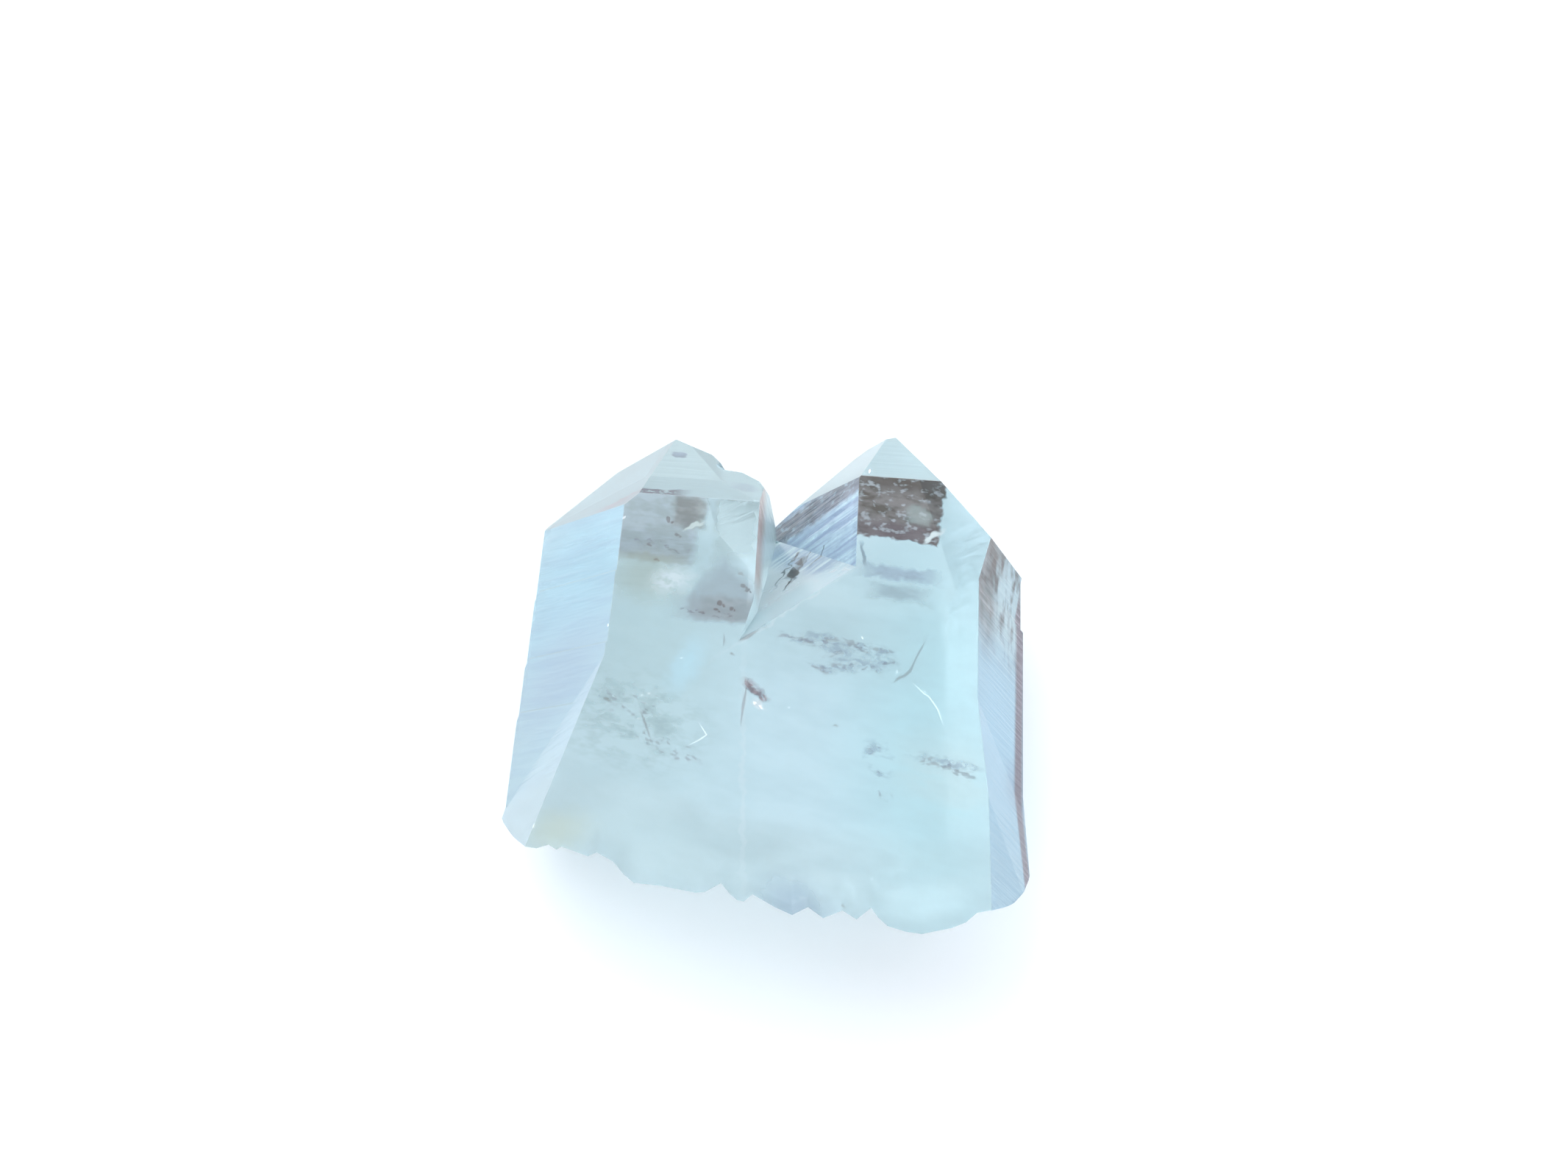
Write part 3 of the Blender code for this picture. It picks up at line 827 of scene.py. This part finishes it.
# %% Veils, hairlines, specks and sparks
VEIL_DEPTHS = (0.15, 1.1)
SPECK_DEPTH = 0.25
CRUMB_DEPTH = 0.3
SPARK_DEPTH = 0.2
SPARK_JAG = 0.2
SPARK_GLINT = 0.6
VEIL_PATHS = (
    (((-0.6, -10.4), (1.2, -10.6), (2.4, -10.9)), 0.22, 34, 0.8, -8),
    (((2.9, -11.1), (4.1, -10.4), (5.5, -10.5), (6.2, -10.9)), 0.25, 46, 0.8, 8),
    (((3.6, -12.3), (4.6, -11.9), (5.2, -11.5)), 0.25, 22, 0.6, 20),
    (((2.7, -13.3), (3.5, -13.6), (4.2, -14.0)), 0.16, 20, 0.6, -35),
    (((4.4, -12.9), (5.4, -13.2), (6.6, -12.7)), 0.22, 26, 0.6, 10),
    (((7.0, -11.0), (8.2, -11.2), (9.5, -11.4)), 0.2, 34, 0.6, -6),
    (((7.4, -13.3), (8.6, -12.9), (9.7, -12.3)), 0.3, 26, 0.6, 15),
    (((-15.5, -17.0), (-13.4, -18.6), (-11.6, -19.0)), 0.9, 46, 0.7, -30),
    (((-12.0, -21.2), (-9.8, -22.4), (-7.4, -23.4)), 0.9, 40, 0.7, -20),
    (((8.6, -20.5), (8.0, -21.6), (8.8, -24.7), (9.8, -26.2)), 0.5, 34, 0.6, -35),
    (((12.4, -21.6), (14.6, -22.2), (17.2, -23.2)), 0.35, 40, 0.9, -15),
    (((-9.4, -8.4), (-6.6, -8.9), (-3.8, -8.6)), 0.3, 26, 0.6, 0),
    (((-14.6, -1.2), (-12.2, -2.2), (-9.6, -2.6)), 0.7, 26, 0.5, -10),
)
SPECKS = (
    (-11.2, 0.6, 0.8), (-10.3, -0.9, 0.6), (-12.8, -2.1, 0.5), (-12.0, -3.6, 0.5), (-4.3, -4.4, 0.45),
    (-4.0, -5.7, 0.7), (-3.6, -6.1, 0.6), (-6.0, -7.6, 0.8), (-4.9, -8.1, 0.55), (-6.3, -8.3, 0.6),
    (-15.3, -17.9, 0.6), (-4.6, -12.6, 0.4), (4.8, -18.9, 0.4), (6.1, -35.6, 0.45),
)
SPARKS = (
    (6.9, -10.1, 0.42, -60), (10.1, -13.3, 0.35, 70), (0.7, -17.5, 0.25, 10), (-20.3, -30.3, 0.5, 85),
    (-9.0, -13.4, 0.3, 20), (12.6, -15.0, 0.3, 0), (-5.0, 8.6, 0.3, 20), (-4.3, -17.0, 0.2, 0),
    (7.0, 7.4, 0.45, 80), (8.5, -33.0, 0.3, 85), (-12.3, -19.6, 0.25, 0), (13.8, -30.5, 0.25, 40),
    (-15.2, 0.5, 0.5, 60), (-15.7, -10.6, 0.35, 80), (-11.6, -17.1, 0.35, 0), (-12.2, -17.3, 0.3, 20),
)

HAIRLINES = (
    (((12.5, -10.1), (12.2, -10.8), (11.9, -11.4), (11.6, -12.2), (11.3, -13.0), (10.8, -13.6),
      (10.2, -13.9), (9.9, -14.3)), 0.2, 0.3),
    (((6.4, -11.0), (6.9, -11.4), (7.5, -11.6)), 0.3, 0.3),
    (((-12.2, -18.8), (-11.7, -20.0), (-11.1, -21.5)), 0.24, 0.3),
    (((-5.4, -10.6), (-5.35, -11.3), (-5.4, -12.0)), 0.22, 0.3),
    (((-4.1, -11.3), (-3.3, -10.8), (-2.4, -10.1)), 0.4, 0.2),
    (((-3.0, -14.9), (-3.3, -17.5), (-3.4, -19.6)), 0.22, 0.3),
)
# The bright lines are painted glints too: white ribbons with the same emission as the sparks.
BRIGHT_LINES = (
    (((11.5, -14.2), (12.5, -15.2), (13.0, -15.5), (13.8, -16.7), (14.3, -18.2)), 0.12, 0.3),
    (((-7.1, -19.5), (-6.3, -20.7), (-7.0, -21.3), (-7.8, -21.8)), 0.12, 0.3),
)

veils = bmesh.new()
for path, reach, count, longest, turn in VEIL_PATHS:
    scatter(veils, path, reach, count, longest, turn, VEIL_DEPTHS)
finish_piece("veils", veils, shade(110, 122, 146))

hairlines = bmesh.new()
for points, width, depth in HAIRLINES:
    add_hairline(hairlines, points, width, depth)
finish_piece("hairlines", hairlines, shade(84, 94, 112))

specks = bmesh.new()
for x, y, size in SPECKS:
    crumb = inside(x + size * 0.5, y - size * 0.3, CRUMB_DEPTH)
    add_flake(specks, inside(x, y, SPECK_DEPTH), size, size * 0.7, 360 * dice.random(), 0.0)
    add_flake(specks, crumb, size * 0.6, size * 0.4, 360 * dice.random(), 0.0)
finish_piece("specks", specks, shade(70, 64, 70))

sparks = bmesh.new()
for x, y, size, turn in SPARKS:
    add_flake(sparks, inside(x, y, SPARK_DEPTH), size, size * 0.4, turn, 0.0, jag=SPARK_JAG)
for points, width, depth in BRIGHT_LINES:
    add_hairline(sparks, points, width, depth)
finish_piece("sparks", sparks, shade(252, 254, 255), SPARK_GLINT)

# %% [markdown]
# ### The fracture and its flash
#
# Where the two crystals join, a small crack shows dark, and its lower end throws back white light. One bent
# sheet with two finishes would do, but two loose heaps of flakes look as broken as the real crack does.

# %% The fracture and its flash
FRACTURE_DEPTHS = (0.2, 0.7)
FLASH_DEPTHS = (0.15, 0.3)

fracture = bmesh.new()
scatter(fracture, ((-3.1, -15.3), (-2.5, -16.1), (-1.4, -16.9)), 0.16, 18, 1.1, -42, FRACTURE_DEPTHS)
finish_piece("fracture", fracture, shade(140, 114, 126))
flash = bmesh.new()
scatter(flash, ((-2.4, -17.2), (-1.5, -17.8)), 0.12, 7, 0.7, -35, FLASH_DEPTHS)
finish_piece("flash", flash, shade(252, 254, 255), SPARK_GLINT)

# %% [markdown]
# ### The dark marks in the notch
#
# A few dark angular marks lie in the slope of the notch. Stains alone look washed out there, because the
# glass lets light through them. So each mark is also a thin solid plate. Its corners are dropped onto a plane
# that lies parallel to the slope, just under its surface.

# %% The dark marks in the notch
NOTCH_END = Vector((6.2, -2.8, FRONT_HEIGHT))
NOTCH_FACING = Vector((-0.4636, 0.5592, 0.6873))
NOTCH_SINK = 0.12
NOTCH_MARKS = (
    ((0.0, -1.3, 15.6), (0.6, 0.2, 14.8), (1.2, -1.3, 16.4), (0.5, -2.2, 16.6)),
    ((-0.2, -3.8, 17.5), (0.2, -2.4, 16.7), (0.5, -2.5, 16.9)),
    ((0.7, 0.7, 14.4), (1.4, 1.4, 14.3), (1.5, -0.2, 15.7), (1.1, 0.2, 15.1)),
    ((0.5, 1.2, 13.9), (1.0, 2.9, 12.9), (1.2, 2.8, 13.1), (0.8, 1.3, 14.0)),
    ((2.4, -0.1, 16.2), (3.9, 2.4, 15.2), (3.9, 2.2, 15.4)),
)

marks = bmesh.new()
for outline in NOTCH_MARKS:
    corners = []
    for point in outline:
        above = (Vector(point) - NOTCH_END).dot(NOTCH_FACING) + NOTCH_SINK
        corners.append(marks.verts.new((Vector(point) - NOTCH_FACING * above + GROOVE) * MM))
    marks.faces.new(corners)
finish_piece("marks", marks, shade(52, 50, 48))
